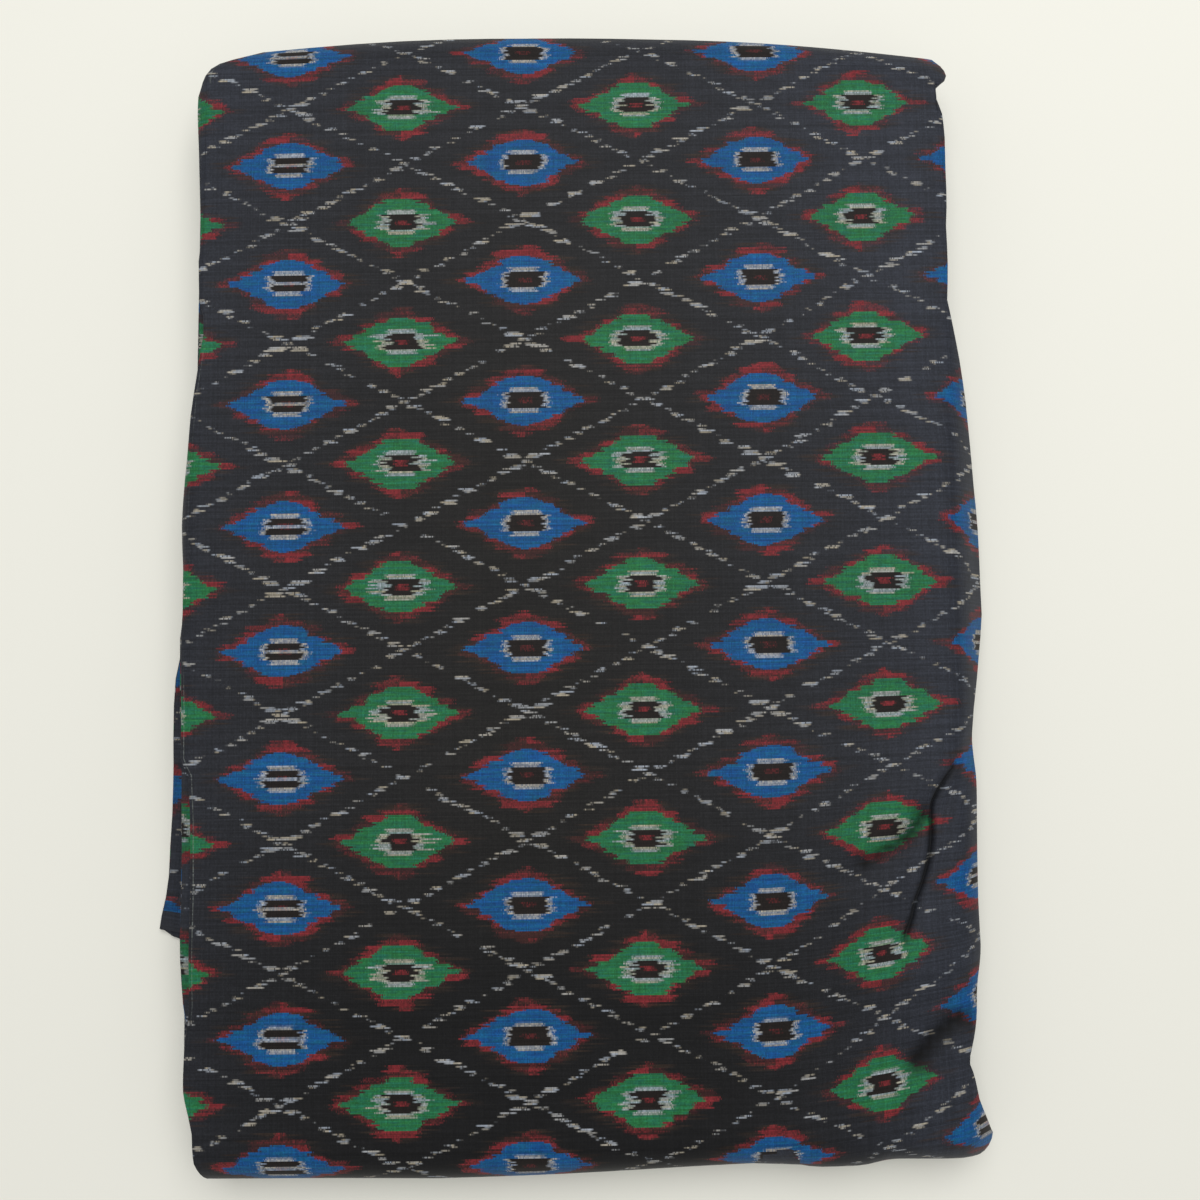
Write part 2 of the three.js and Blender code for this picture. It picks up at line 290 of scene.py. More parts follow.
def distance_to_path(path, x, y):
    nearest = np.full(np.broadcast(x, y).shape, np.inf)
    for (ax, ay), (bx, by) in zip(path, path[1:]):
        length_squared = (bx - ax) ** 2 + (by - ay) ** 2
        along = clamp01(((x - ax) * (bx - ax) + (y - ay) * (by - ay)) / length_squared)
        nearest = np.minimum(nearest, np.hypot(x - ax - along * (bx - ax), y - ay - along * (by - ay)))
    return nearest


def crease_height(level, x, y):
    total = 0.0
    for depth, shoulder, width, path in TROUGHS:
        distance = distance_to_path(path, x, y)
        rise = shoulder if level == TOP else 0.0
        drop = max(0.0, depth - TROUGH_FADE * (TOP - level)) + rise
        total = total + rise * np.exp(-((distance / (SHOULDER_SPREAD * width)) ** 2))
        total = total - drop * np.exp(-((distance / width) ** 2))
    return total


# Height of the middle of a layer's thickness
def layer_height(level, x, y):
    height = STRIP_THICKNESS / 2 + LAYER_PITCH * level
    for below in range(level):
        height = height - SAG_SHARE * LAYER_PITCH * (1 - support_of(below, x, y))
    crown = CROWN_HEIGHT * (1 - (x / CROWN_HALF_WIDTH) ** 2) * (1 - (y / CROWN_HALF_LENGTH) ** 2)
    return height + np.maximum(0, crown) * level / TOP + crease_height(level, x, y)


# How far the bowed ends shift a point along Y
def end_shift(x, y):
    far_shift = -FAR_BOW_DEPTH * ((x - FAR_BOW_MIDDLE) / FAR_BOW_HALF_WIDTH) ** 2
    near_shift = NEAR_RISE_DEPTH * clamp01((x - NEAR_RISE_START) / NEAR_RISE_RUN)
    near_shift = near_shift - BULGE_DEPTH * np.exp(-(((x - BULGE_MIDDLE) / BULGE_WIDTH) ** 4))
    far_share = smooth_step((y - END_ZONE_START) / END_ZONE_RUN)
    near_share = smooth_step((-y - END_ZONE_START) / END_ZONE_RUN)
    return far_shift * far_share + near_shift * near_share


# Where the top layer bends down at its left
def crest_at(y):
    return np.maximum(edge_at(TOP, "left", y) + CREST_INSET, place_on(CREST, y))


def layer_point(level, x, y):
    height = layer_height(level, x, y)
    shift = end_shift(x, y)
    if level == TOP:
        height = height - FALL_BEYOND_CREST * np.maximum(0, crest_at(y) - CREST_INSET - x)
    if level == CUT_END_LAYER:
        past_corner = clamp01((TAIL_CORNER_START - x) / TAIL_CORNER_WIDTH)
        shift = shift + TAIL_CORNER_LIFT * past_corner * clamp01((TAIL_LIFT_START - y) / TAIL_LIFT_RUN)
    return np.stack([x, y + shift, height], axis=-1)


# One row of the strip: a layer at a place along it, a share of the near roll, or a share of a fold
class Row:
    def __init__(self, level, y, share=None, fold_to=None):
        self.level = level
        self.y = float(y)
        self.share = share
        self.fold_to = fold_to

    def edges(self):
        left = edge_at(self.level, "left", self.y) + corner_inset(self.level, self.y)
        right = edge_at(self.level, "right", self.y)
        if self.level == 0 and self.share is not None:
            lift = smooth_step((1 - math.cos(math.pi * self.share)) / 2)
            left = lerp(left, edge_at(TOP, "left", self.y), lift)
            right = lerp(right, edge_at(TOP, "right", self.y), lift)
        if self.fold_to is not None:
            next_left = edge_at(self.fold_to, "left", self.y) + corner_inset(self.fold_to, self.y)
            left = lerp(left, next_left, self.share)
            right = lerp(right, edge_at(self.fold_to, "right", self.y), self.share)
        return float(left), float(right)

    def points(self, x):
        if self.fold_to is not None:
            return self.fold_points(x)
        if self.share is not None:
            lift = (1 - math.cos(math.pi * self.share)) / 2
            z = lerp(layer_height(0, x, NEAR_SPINE), layer_height(TOP, x, NEAR_SPINE), lift)
            return np.stack([x, self.y + end_shift(x, self.y), z], axis=-1)
        return layer_point(self.level, x, self.y)

    # The half circle from one layer's end to that of the layer below it
    def fold_points(self, x):
        is_far = self.y > 0
        start = layer_point(self.level, x, self.y)
        end = lower_fold_end(self.fold_to, x) if is_far else layer_point(self.fold_to, x, self.y)
        middle = (start + end) / 2
        arm = start - middle
        outward = np.stack([np.zeros_like(x), arm[..., 2], -arm[..., 1]], axis=-1) * (1 if is_far else -1)
        angle = math.pi * self.share
        return middle + arm * math.cos(angle) + outward * math.sin(angle)


# The lower layer of a far fold ends a little short where the pair slopes, so the fold stays round
SLOPE_STEP = 2


def lower_fold_end(level, x):
    far = float(LAYERS[level]["far"])
    inner = layer_point(level + 1, x, far - SLOPE_STEP)
    outer = layer_point(level + 1, x, far)
    slope = np.arctan2(inner[..., 2] - outer[..., 2], outer[..., 1] - inner[..., 1])
    return layer_point(level, x, far - LAYER_PITCH * np.sin(slope) * np.cos(slope))


def layer_rows(level):
    inside = LOWER_ROWS
    if level == TOP:
        inside = TOP_ROWS
    elif level >= SECOND_ROWS_START:
        inside = SECOND_ROWS
    elif level >= UPPER_ROWS_START:
        inside = UPPER_ROWS
    elif level == CUT_END_LAYER:
        inside = TAIL_ROWS
    near, far = LAYERS[level]["near"], LAYERS[level]["far"]
    return [near, *[y for y in inside if near + NEAR_GAP < y < far - FAR_GAP], far]


# All the strip's rows, from its start under the pile to its cut end
def strip_rows():
    rows = [Row(0, y) for y in reversed(layer_rows(0))]
    for step in range(1, NEAR_ROLL_STEPS):
        share = step / NEAR_ROLL_STEPS
        rows.append(Row(0, NEAR_SPINE - NEAR_ROLL_DEPTH * math.sin(math.pi * share), share=share))
    for level in range(TOP, 0, -1):
        runs_far = (TOP - level) % 2 == 0
        places = layer_rows(level)
        rows += [Row(level, y) for y in (places if runs_far else reversed(places))]
        if level > 1:
            for step in range(1, FOLD_STEPS):
                rows.append(Row(level, rows[-1].y, share=step / FOLD_STEPS, fold_to=level - 1))
    return rows


# The sharp crease's place across the bundle, held where the crease has run out
def crease_column(y):
    path = np.array(CREASE_LINE[::-1], dtype=float)
    return float(np.interp(y, path[:, 1], path[:, 0]))


# Half circle of a folded edge in the section: places past the flat part, and offsets through the strip
def folded_edge(radius, middle):
    angles = np.linspace(0, math.pi, FOLD_SAMPLES + 2)[1:-1]
    return radius * np.sin(angles), middle + radius * np.cos(angles)


# The section of the four plies, in the order of the cloth's width: places across the bundle, offsets through
# the strip's thickness, how much of the top ply's relief each point takes, and how much painted highlight it
# gets
def section(row):
    left, right = row.edges()
    crease = crease_column(row.y)
    skin = PLY_THICKNESS / 2
    right_turn = right - 1.5 * PLY_PITCH - skin
    left_turn = left + 0.5 * PLY_PITCH + skin
    selvedge = SELVEDGE_INSET
    for height, length, by_level in SELVEDGE_WAVES:
        selvedge += height * math.sin(row.y / length + by_level * row.level)
    inner = [*INNER_PLACES, *[lerp(INNER_PLACES[-1], crease, s) for s in INNER_CREASE_SHARES]]
    inner += [lerp(crease, right_turn, s) for s in INNER_RIGHT_SHARES]
    bottom = [left_turn + selvedge, *inner]
    third = [left_turn + selvedge + THIRD_PLY_INSET, *inner]
    second = [left_turn, *inner]
    crest = left_turn + PLAIN_CREST_INSET
    if row.level == TOP or row.share is not None:
        crest = max(crest, float(crest_at(row.y)))
    top = [left_turn, *[lerp(left_turn, crest, s) for s in BEFORE_CREST], crest]
    top += [*[crest + s for s in AFTER_CREST], *MIDDLE_PLACES]
    top += [lerp(MIDDLE_PLACES[-1], crease, s) for s in TO_CREASE_SHARES]
    top += [lerp(crease, right_turn, s) for s in TO_RIGHT_SHARES] + [right_turn]
    outer_x, outer_offset = folded_edge(1.5 * PLY_PITCH, 0.0)
    first_x, first_offset = folded_edge(0.5 * PLY_PITCH, PLY_PITCH)
    inner_x, inner_offset = folded_edge(0.5 * PLY_PITCH, 0.0)
    bend_highlight = np.zeros(len(top))
    if row.level == TOP and row.fold_to is None:
        # the crest column gets a painted highlight, a pale line where the fold catches light
        bend_highlight[len(BEFORE_CREST) + 1] = place_on(BEND_HIGHLIGHT, row.y)
    pieces = [
        (bottom, -1.5 * PLY_PITCH, 0.0, 0.0),
        (right_turn + outer_x, outer_offset[::-1], clamp01(outer_offset[::-1] / PLY_PITCH / 3 + 0.5), 0.0),
        (top[::-1], 1.5 * PLY_PITCH, 1.0, bend_highlight[::-1]),
        (left_turn - first_x, first_offset, clamp01(first_offset / PLY_PITCH - 0.5), 0.0),
        (second, 0.5 * PLY_PITCH, 0.0, 0.0),
        (right_turn + inner_x, inner_offset, 0.0, 0.0),
        (third[::-1], -0.5 * PLY_PITCH, 0.0, 0.0),
    ]
    return np.concatenate([np.stack(np.broadcast_arrays(*map(np.array, piece))) for piece in pieces], axis=1)


# Soft relief that the top ply alone has, above its neighbours
def top_relief(row, x):
    if row.fold_to is not None or (row.level != TOP and row.share is None):
        return np.zeros_like(x)
    height = 0.0
    for wave, run_across, run_along in WAVES:
        height = height + wave * (1 + np.sin(x / run_across + row.y / run_along))
    open_share = 1.0
    for shoulder, shoulder_width, valley_width, path in TOP_FOLDS:
        distance = distance_to_path(path, x, row.y)
        height = height + shoulder * np.exp(-((distance / shoulder_width) ** 2))
        open_share = open_share * (1 - np.exp(-((distance / valley_width) ** 2)))
    return height * open_share


# How much light the top ply loses in its creases
def crease_shade(row, section_row):
    if row.level != TOP or row.share is not None or row.fold_to is not None:
        return np.zeros_like(section_row[0])
    shade = 0.0
    for lost, width, path in CREASE_SHADES:
        distance = distance_to_path(path, section_row[0], row.y)
        shade = np.maximum(shade, lost * np.exp(-((distance / width) ** 2)))
    return shade * (section_row[2] >= 1)


# The middle surface of the cloth, as rows of points
NORMAL_STEP = 0.4


def cloth_surface():
    rows = strip_rows()
    sections = [section(row) for row in rows]
    middle = np.array([row.points(s[0]) for row, s in zip(rows, sections)])
    right = np.array([row.points(s[0] + NORMAL_STEP) for row, s in zip(rows, sections)])
    left = np.array([row.points(s[0] - NORMAL_STEP) for row, s in zip(rows, sections)])
    across = right - left
    along = np.empty_like(middle)
    along[1:-1] = middle[2:] - middle[:-2]
    along[0] = middle[1] - middle[0]
    along[-1] = middle[-1] - middle[-2]
    normal = np.cross(across, along)
    normal /= np.linalg.norm(normal, axis=-1, keepdims=True)
    offset = np.array([s[1] + s[2] * top_relief(row, s[0]) for row, s in zip(rows, sections)])
    return rows, sections, middle + normal * offset[..., None]


def surface_normals(points):
    across = np.gradient(points, axis=1)
    along = np.gradient(points, axis=0)
    normal = np.cross(across, along)
    return normal / np.maximum(np.linalg.norm(normal, axis=-1, keepdims=True), 1e-9)


# Where the pattern lies on the cloth. Its columns drift a little across the bundle and its rows slope a
# little. Towards the lower right, where the cloth was pulled, the rows are lifted and the columns are drawn
# together
COLUMN_PITCH = 87.6
ROW_PITCH = 45.55
COLUMN_START = -15.3
COLUMN_DRIFT = -0.012
ROW_START = 22.3
ROW_SLOPE = 0.0145
FAR_STRETCH = 1.8
FAR_STRETCH_START = 150
FAR_STRETCH_RUN = 60
LIFT_HEIGHT = 10.7
LIFT_START = -3
LIFT_RUN = 160
LIFT_LEFT = 72
LIFT_RIGHT = 147
SQUEEZE = 10.0
SQUEEZE_START = -58
SQUEEZE_RUN = 60
SQUEEZE_LEFT = 60
SQUEEZE_RIGHT = 150
FAR_SQUEEZE = 3.5
FAR_SQUEEZE_START = 50
FAR_SQUEEZE_LEFT = 75
FAR_SQUEEZE_RUN = 30
PULL_POWER = 1.3

# How far the folds of two layers have slipped across and along, so their pattern starts elsewhere
SLIPS = {TOP - 1: (37.8, -14.8), CUT_END_LAYER: (-12.8, -19.8)}
# and how far along the cloth its pattern runs. From there to the cut end it is plain
PATTERN_END = 4600


# The slip of each row of the strip, which changes over the folds between two layers
def slip_of(row):
    slip = np.array(SLIPS.get(row.level, (0.0, 0.0)))
    if row.fold_to is not None:
        slip = lerp(slip, np.array(SLIPS.get(row.fold_to, (0.0, 0.0))), row.share)
    return slip


# The place on the cloth of each point: across it from a motif's middle, and along it from a motif's middle
def pattern_places(rows, sections, points):
    x = np.array([s[0] for s in sections])
    y = np.array([row.y for row in rows])[:, None]
    middle_column = int(np.argmin(np.abs(x[0]) + 10 * (np.array(sections[0][2]) < 1)))
    steps_across = np.linalg.norm(np.diff(points, axis=1), axis=-1)
    across = np.concatenate([np.zeros((len(rows), 1)), np.cumsum(steps_across, axis=1)], axis=1)
    weft = x[:, middle_column][:, None] + across[:, middle_column][:, None] - across
    steps_along = np.linalg.norm(np.diff(points[:, middle_column], axis=0), axis=-1)
    along = np.concatenate([[0.0], np.cumsum(steps_along)])
    top_rows = [i for i, row in enumerate(rows) if row.level == TOP and row.share is None]
    along_at_start = np.interp(ROW_START, y[top_rows, 0], along[top_rows])
    lift = LIFT_HEIGHT * smooth_step((LIFT_START - y) / LIFT_RUN)
    lift = lift * clamp01((x - LIFT_LEFT) / (LIFT_RIGHT - LIFT_LEFT)) ** PULL_POWER + ROW_SLOPE * x
    squeeze = SQUEEZE * smooth_step((SQUEEZE_START - y) / SQUEEZE_RUN)
    squeeze = squeeze * clamp01((x - SQUEEZE_LEFT) / (SQUEEZE_RIGHT - SQUEEZE_LEFT)) ** PULL_POWER
    far_squeeze = FAR_SQUEEZE * smooth_step((x - FAR_SQUEEZE_LEFT) / FAR_SQUEEZE_RUN)
    squeeze = squeeze + far_squeeze * smooth_step((y - FAR_SQUEEZE_START) / FAR_SQUEEZE_RUN)
    bow = end_shift(x, y) - end_shift(np.zeros_like(x), y)
    stretch = FAR_STRETCH * smooth_step((y - FAR_STRETCH_START) / FAR_STRETCH_RUN)
    slip = np.array([slip_of(row) for row in rows])
    warp = (along - along_at_start)[:, None] + bow + stretch - lift + slip[:, 1:]
    return weft + squeeze + slip[:, :1] - (COLUMN_START + COLUMN_DRIFT * y), warp


# How far the pile is moved, so that it is centred as its solid is
PILE_SHIFT = (-0.18, 0.4)


# The cloth as one closed mesh: the middle surface's two skins, and the rim that joins them
def cloth_mesh():
    rows, sections, points = cloth_surface()
    normal = surface_normals(points)
    weft, warp = pattern_places(rows, sections, points)
    count_rows, count_columns = weft.shape
    skins = np.concatenate([points - normal * PLY_THICKNESS / 2, points + normal * PLY_THICKNESS / 2])
    vertices = skins.reshape(-1, 3)
    skin_size = count_rows * count_columns
    grid = np.arange(skin_size).reshape(count_rows, count_columns)
    a, b, c, d = grid[:-1, :-1], grid[:-1, 1:], grid[1:, 1:], grid[1:, :-1]
    outer = np.stack([a, b, c, d], axis=-1).reshape(-1, 4)
    inner = outer[:, ::-1] + skin_size
    rim = np.array([*grid[0], *grid[1:, -1], *grid[-1, -2::-1], *grid[-2:0:-1, 0]])
    after = np.roll(rim, -1)
    edge = np.stack([after, rim, rim + skin_size, after + skin_size], axis=-1)
    faces = np.concatenate([outer, inner, edge])
    shift = np.array([*PILE_SHIFT, -vertices[:, 2].min()])
    mesh = bpy.data.meshes.new("cloth_folded")
    mesh.from_pydata(((vertices + shift) * MM).tolist(), [], faces.tolist())
    layer = mesh.uv_layers.new(name="weave")
    places = np.stack([weft.reshape(-1), warp.reshape(-1)], axis=-1) * MM
    places = np.concatenate([places, places])
    corners = np.empty(len(mesh.loops), dtype=np.int32)
    mesh.loops.foreach_get("vertex_index", corners)
    layer.data.foreach_set("uv", places[corners].astype(np.float32).reshape(-1))
    # shares of the painted highlight along the bend, and of painted shade in the creases
    bend_highlight = np.array([s[3] for s in sections])
    shade = np.array([crease_shade(row, s) for row, s in zip(rows, sections)])
    for name, values in (("bend_highlight", bend_highlight), ("shade", shade)):
        attribute = mesh.attributes.new(name=name, type="FLOAT", domain="POINT")
        attribute.data.foreach_set("value", np.concatenate([values, values]).astype(np.float32).reshape(-1))
    mesh.polygons.foreach_set("use_smooth", [True] * len(mesh.polygons))
    mesh.update()
    return mesh


# Colours, as linear red, green and blue
def linear(red, green, blue):
    shares = (red / 255, green / 255, blue / 255)
    return (*[((share + 0.055) / 1.055) ** 2.4 for share in shares], 1.0)


GROUND_COLOUR = linear(27, 26, 25)
# painted sheen on the ground towards the sides and the far end, and painted shade towards the near end
GROUND_SHEEN_COLOUR = linear(42, 45, 53)
GROUND_NEAR_SHADE_COLOUR = linear(19, 19, 20)
BLUE_COLOUR = linear(14, 72, 128)
BLUE_GREEN_COLOUR = linear(16, 92, 106)
GREEN_COLOUR = linear(34, 102, 57)
RED_COLOUR = linear(118, 36, 41)
CREAM_COLOUR = linear(156, 147, 128)
COOL_COLOUR = linear(141, 149, 160)
EYE_COLOUR = linear(26, 21, 19)
HAZE_COLOUR = linear(50, 38, 30)
# colour of the painted highlight along the top layer's bend
BEND_HIGHLIGHT_COLOUR = linear(122, 128, 122)
FLOOR_COLOUR = linear(232, 231, 221)


# A number that varies over the cloth, as the output of a shader node, with sums written as in algebra
class Field:
    def __init__(self, tree, socket):
        self.tree = tree
        self.socket = socket

    def __add__(self, other):
        return self.math("ADD", other)

    def __sub__(self, other):
        return self.math("SUBTRACT", other)

    def __mul__(self, other):
        return self.math("MULTIPLY", other)

    def __truediv__(self, other):
        return self.math("DIVIDE", other)

    def __neg__(self):
        return self.math("MULTIPLY", -1.0)

    def math(self, operation, *others):
        node = self.tree.nodes.new("ShaderNodeMath")
        node.operation = operation
        self.tree.links.new(self.socket, node.inputs[0])
        for place, other in enumerate(others, start=1):
            if isinstance(other, Field):
                self.tree.links.new(other.socket, node.inputs[place])
            else:
                node.inputs[place].default_value = other
        return Field(self.tree, node.outputs[0])

    def floor(self):
        return self.math("FLOOR")

    def fract(self):
        return self.math("FRACT")

    def size(self):
        return self.math("ABSOLUTE")

    def most(self, other):
        return self.math("MAXIMUM", other)

    def above(self, limit):
        return self.math("GREATER_THAN", limit)

    def clamped(self):
        return self.math("MINIMUM", 1.0).math("MAXIMUM", 0.0)

    # 1 where this is below the limit, falling to 0 over a soft run
    def below(self, limit, soft):
        return ((-self + limit) / soft + 0.5).clamped()

    # The distance to the nearest whole number, with its sign
    def off_whole(self):
        return (self + 0.5).fract() - 0.5

    # This where share is 1, and other where it is 0
    def chosen(self, other, share):
        return other + (self - other) * share

    # Read from a table of places and values, straight between its rows
    def table(self, rows, top):
        node = self.tree.nodes.new("ShaderNodeFloatCurve")
        reach = rows[-1][0]
        curve = node.mapping.curves[0]
        while len(curve.points) < len(rows):
            curve.points.new(0.5, 0.5)
        for point, (place, value) in zip(curve.points, rows):
            point.location = (place / reach, value / top)
            point.handle_type = "VECTOR"
        node.mapping.update()
        self.tree.links.new((self / reach).clamped().socket, node.inputs["Value"])
        return Field(self.tree, node.outputs["Value"]) * top


# A number that each vertex of the cloth carries
def mesh_field(tree, name):
    node = tree.nodes.new("ShaderNodeAttribute")
    node.attribute_name = name
    return Field(tree, node.outputs["Fac"])


# A random number from 0 to 1 for each set of whole numbers. Bare numbers in its calls keep the series apart
def chance(first, second, third):
    tree = first.tree
    combine = tree.nodes.new("ShaderNodeCombineXYZ")
    for place, value in enumerate((first, second, third)):
        if isinstance(value, Field):
            tree.links.new(value.socket, combine.inputs[place])
        else:
            combine.inputs[place].default_value = value
    noise = tree.nodes.new("ShaderNodeTexWhiteNoise")
    noise.noise_dimensions = "3D"
    tree.links.new(combine.outputs[0], noise.inputs["Vector"])
    return Field(tree, noise.outputs["Value"])


# Noise from 0 to 1 that varies smoothly over the cloth
def smooth_noise(first, second):
    tree = first.tree
    combine = tree.nodes.new("ShaderNodeCombineXYZ")
    tree.links.new(first.socket, combine.inputs[0])
    tree.links.new(second.socket, combine.inputs[1])
    noise = tree.nodes.new("ShaderNodeTexNoise")
    noise.noise_dimensions = "2D"
    noise.inputs["Scale"].default_value = 1.0
    noise.inputs["Detail"].default_value = 1.0
    tree.links.new(combine.outputs[0], noise.inputs["Vector"])
    return Field(tree, noise.outputs[0])


# One colour laid over another by a share that varies
def laid_over(tree, under, colour, share):
    node = tree.nodes.new("ShaderNodeMix")
    node.data_type = "RGBA"
    tree.links.new(share.socket, node.inputs["Factor"])
    for name, value in (("A", under), ("B", colour)):
        socket = next(s for s in node.inputs if s.name == name and s.type == "RGBA")
        if isinstance(value, tuple):
            socket.default_value = value
        else:
            tree.links.new(value, socket)
    return next(s for s in node.outputs if s.type == "RGBA")


# The weave: weft yarns, and the tied groups of yarns whose dyed edges step together
PICK = 0.6
WARP_END = 0.42
TIES = 22
TIE = ROW_PITCH / TIES
GREEN_OFFSET = 1.8
# the share of each motif's outline that follows the steps, and the share of the dashes that follows the slope
OUTLINE_STEPPED = 0.6
DASHES_SMOOTH = 0.6
# and the soft run of an edge that is cut sharp
SHARP = 0.01

# Half-widths of each motif by the distance from its middle, in millimetres
MOTIF_REACH = 30
LEAST_HALF = 0.5
BLUE_CORE = [(0, 21.5), (2.07, 17.6), (4.14, 13.8), (6.2, 9.6), (8.2, 7), (8.9, 0), (14, 0)]
BLUE_RING = [
    (0, 25), (2.07, 21.3), (4.14, 17.4), (6.2, 13.2), (8.3, 10.4), (10.35, 8), (12, 4.2), (13.2, 0), (14, 0),
]
GREEN_CORE = [(0, 20.5), (2.07, 16.9), (4.14, 13.4), (6.2, 9.6), (8.3, 5.8), (9.3, 2.2), (9.7, 0), (14, 0)]
GREEN_RING = [
    (0, 25), (2.07, 21), (4.14, 17), (6.2, 12.8), (8.3, 9.8), (10.35, 6.8), (12, 3.6), (13.3, 0), (14, 0),
]


# One motif and the weft yarn that crosses it, at each place
class Motif:
    def __init__(self, weft, warp):
        self.pick = (warp / PICK).floor()
        self.end = (weft / WARP_END).floor()
        self.row = (self.pick + 0.5) * PICK
        self.across = weft / COLUMN_PITCH
        self.along = self.row / ROW_PITCH
        blue_x = self.across.off_whole()
        blue_y = self.along.off_whole()
        self.is_blue = (blue_x.size() + blue_y.size()).below(0.5, 0.0001)
        x_share = blue_x.chosen((self.across - 0.5).off_whole(), self.is_blue)
        y_share = blue_y.chosen((self.along - 0.5).off_whole(), self.is_blue)
        self.column = ((self.across - x_share) * 2).math("ROUND")
        band = ((self.along - y_share) * 2).math("ROUND")
        self.number = self.column * 7 + band * 13
        self.x = x_share * COLUMN_PITCH + (-self.is_blue + 1) * GREEN_OFFSET
        self.y = y_share * ROW_PITCH
        self.side = self.x.above(0)
        self.group = (self.y / TIE + 0.5).floor()
        self.from_middle = (self.group * TIE).size().chosen(self.y.size(), OUTLINE_STEPPED)
        self.speck = chance(self.pick, self.end, 71.0)

    # A random length for each tied group, and one for each yarn, on each side of each motif
    def jitter(self, by_group, by_pick, seed):
        group = (chance(self.number, self.group, self.side + seed) - 0.5) * by_group
        pick = (chance(self.pick, self.number, self.side + seed + 2) - 0.5) * by_pick
        return group + pick

    def half_width(self, blue_table, green_table):
        blue = self.from_middle.table(blue_table, MOTIF_REACH)
        return blue.chosen(self.from_middle.table(green_table, MOTIF_REACH), self.is_blue)


# How ragged each edge is by tied group, by yarn, and over what soft run it fades
CORE_EDGE = (2.4, 2.0, 0.9)
RING_EDGE = (4.6, 2.6, 2.0)
HAZE_EDGE = (4.0, 8.0, 4.0)
HAZE_REACH = 2.5
HAZE_STRENGTH = 0.7
EDGE_SPECK = 1.4
RING_PATCHES = 1.5
RING_PATCH_LOSS = 0.4
RING_STRENGTH = 0.8
RING_LEAST = 0.12


# A part of each motif: 1 inside its half-width, with the ragged edge that the dyeing gives
def dyed_part(motif, half, reach, edge, seed):
    by_group, by_pick, soft = edge
    limit = half + motif.jitter(by_group, by_pick, seed) + reach
    return motif.x.size().below(limit, soft) * half.above(LEAST_HALF)


# The dyed core, ring and outer haze of each motif, as shares. The ring is patchy: some groups took little dye
def motif_shares(motif):
    speck = (motif.speck - 0.5) * EDGE_SPECK
    core_half = motif.half_width(BLUE_CORE, GREEN_CORE)
    ring_half = motif.half_width(BLUE_RING, GREEN_RING)
    core = dyed_part(motif, core_half, speck, CORE_EDGE, 0)
    ring = dyed_part(motif, ring_half, speck, RING_EDGE, 10)
    haze = dyed_part(motif, ring_half, HAZE_REACH, HAZE_EDGE, 30)
    patch = chance(motif.number, motif.group, motif.side + 20) * RING_PATCHES - RING_PATCH_LOSS
    strength = patch + (chance(motif.pick, motif.number, 22.0) - 0.5) * 0.7 + (motif.speck - 0.5) * 0.5
    ring = ring * (strength.clamped() * RING_STRENGTH + RING_LEAST)
    return core, ring, haze * chance(motif.pick, 33.0, 0.0) * HAZE_STRENGTH


# The eye in the middle of each motif: half-widths of its parts, and how far above and below the middle its
# bars, line and red reach
EYE_SHIFT = 0.4
EYE_TIES = 1.5
EYE_BOX = 6.6
EYE_RING = 8.0
EYE_SOFT = 1.6
EYE_BAR = 4.9
EYE_BAR_SHIFT = 0.3
EYE_BAR_BOTTOM = 3.1
EYE_BAR_TOP = 4.8
EYE_BAR_SOFT = 0.3
EYE_LINE = 6.0
EYE_LINE_TOP = 0.7
EYE_RED = 1.9
EYE_RED_TOP = 0.95
# and how far its sides stray by tied group and by yarn
EYE_STRAYS = (1.0, 3.0)
SMEAR_STRAYS = (2.0, 5.0)

# Columns are counted by half pitches, blue and green in turn, so every third column of a colour is six on
COLUMN_CYCLE = 6
SMEARED_START = 1
SPLIT_START = 2


def every_third(motif, start):
    return ((motif.column + start) / COLUMN_CYCLE).off_whole().size().below(0.05, SHARP)


# A dark box with ragged sides in a pale ring, with a red middle that is clear in the green motifs and faint
# in the blue. In every third column of blue motifs a pale line splits the box, and in every third column of
# green ones the ring is smeared wide
def eye_shares(motif):
    x = motif.x - EYE_SHIFT
    y_size = motif.y.size()
    is_green = -motif.is_blue + 1
    speck = motif.speck - 0.5
    ragged = motif.jitter(*EYE_STRAYS, 50)
    smear = motif.jitter(*SMEAR_STRAYS, 60).most(0.0)
    smear = smear * (is_green * 0.4 + 0.4 + every_third(motif, SMEARED_START))
    inside = motif.from_middle.below(TIE * EYE_TIES, SHARP)
    ring_half = ragged * 0.6 + smear + speck * 1.5 + is_green * 0.3 + EYE_RING
    ring = x.size().below(ring_half, EYE_SOFT) * inside
    bar_rows = y_size.below(EYE_BAR_TOP, EYE_BAR_SOFT) - y_size.below(EYE_BAR_BOTTOM, EYE_BAR_SOFT)
    bar_half = ragged * 0.5 + speck * 1.2 + EYE_BAR
    bars = (x + EYE_BAR_SHIFT).size().below(bar_half, EYE_SOFT) * bar_rows
    box_half = ragged * (is_green * 0.6 + 0.8) - is_green + EYE_BOX
    box = x.size().below(box_half, 1.0) * inside
    line = y_size.below(EYE_LINE_TOP, SHARP) * x.size().below(ragged + EYE_LINE, 1.0)
    red_half = ragged * 0.5 + speck + EYE_RED
    red = x.size().below(red_half, EYE_SOFT) * y_size.below(EYE_RED_TOP, SHARP)
    pale = ring.most(bars) * (motif.speck * 0.4 + 0.55).clamped()
    box = box * (-(line * every_third(motif, SPLIT_START)) + 1.0)
    return pale, box, red * (is_green * 0.45 + motif.speck * 0.4)


# The dashes: what strength, a long yarn and a place beside a crossing add to the half-length, and how far
# each dash strays by tied group and by yarn
DASH_LEAST = -0.8
DASH_BY_STRENGTH = 1.9
DASH_BY_PICK = 2.0
DASH_BY_CROSSING = 0.9
DASH_STRAY = 2.0
DASH_PICK_STRAY = 2.8
# and its half-height
DASH_HEIGHT = 0.32
DASH_HEIGHT_BY_STRENGTH = 0.55
DASH_HEIGHT_SOFT = 0.3


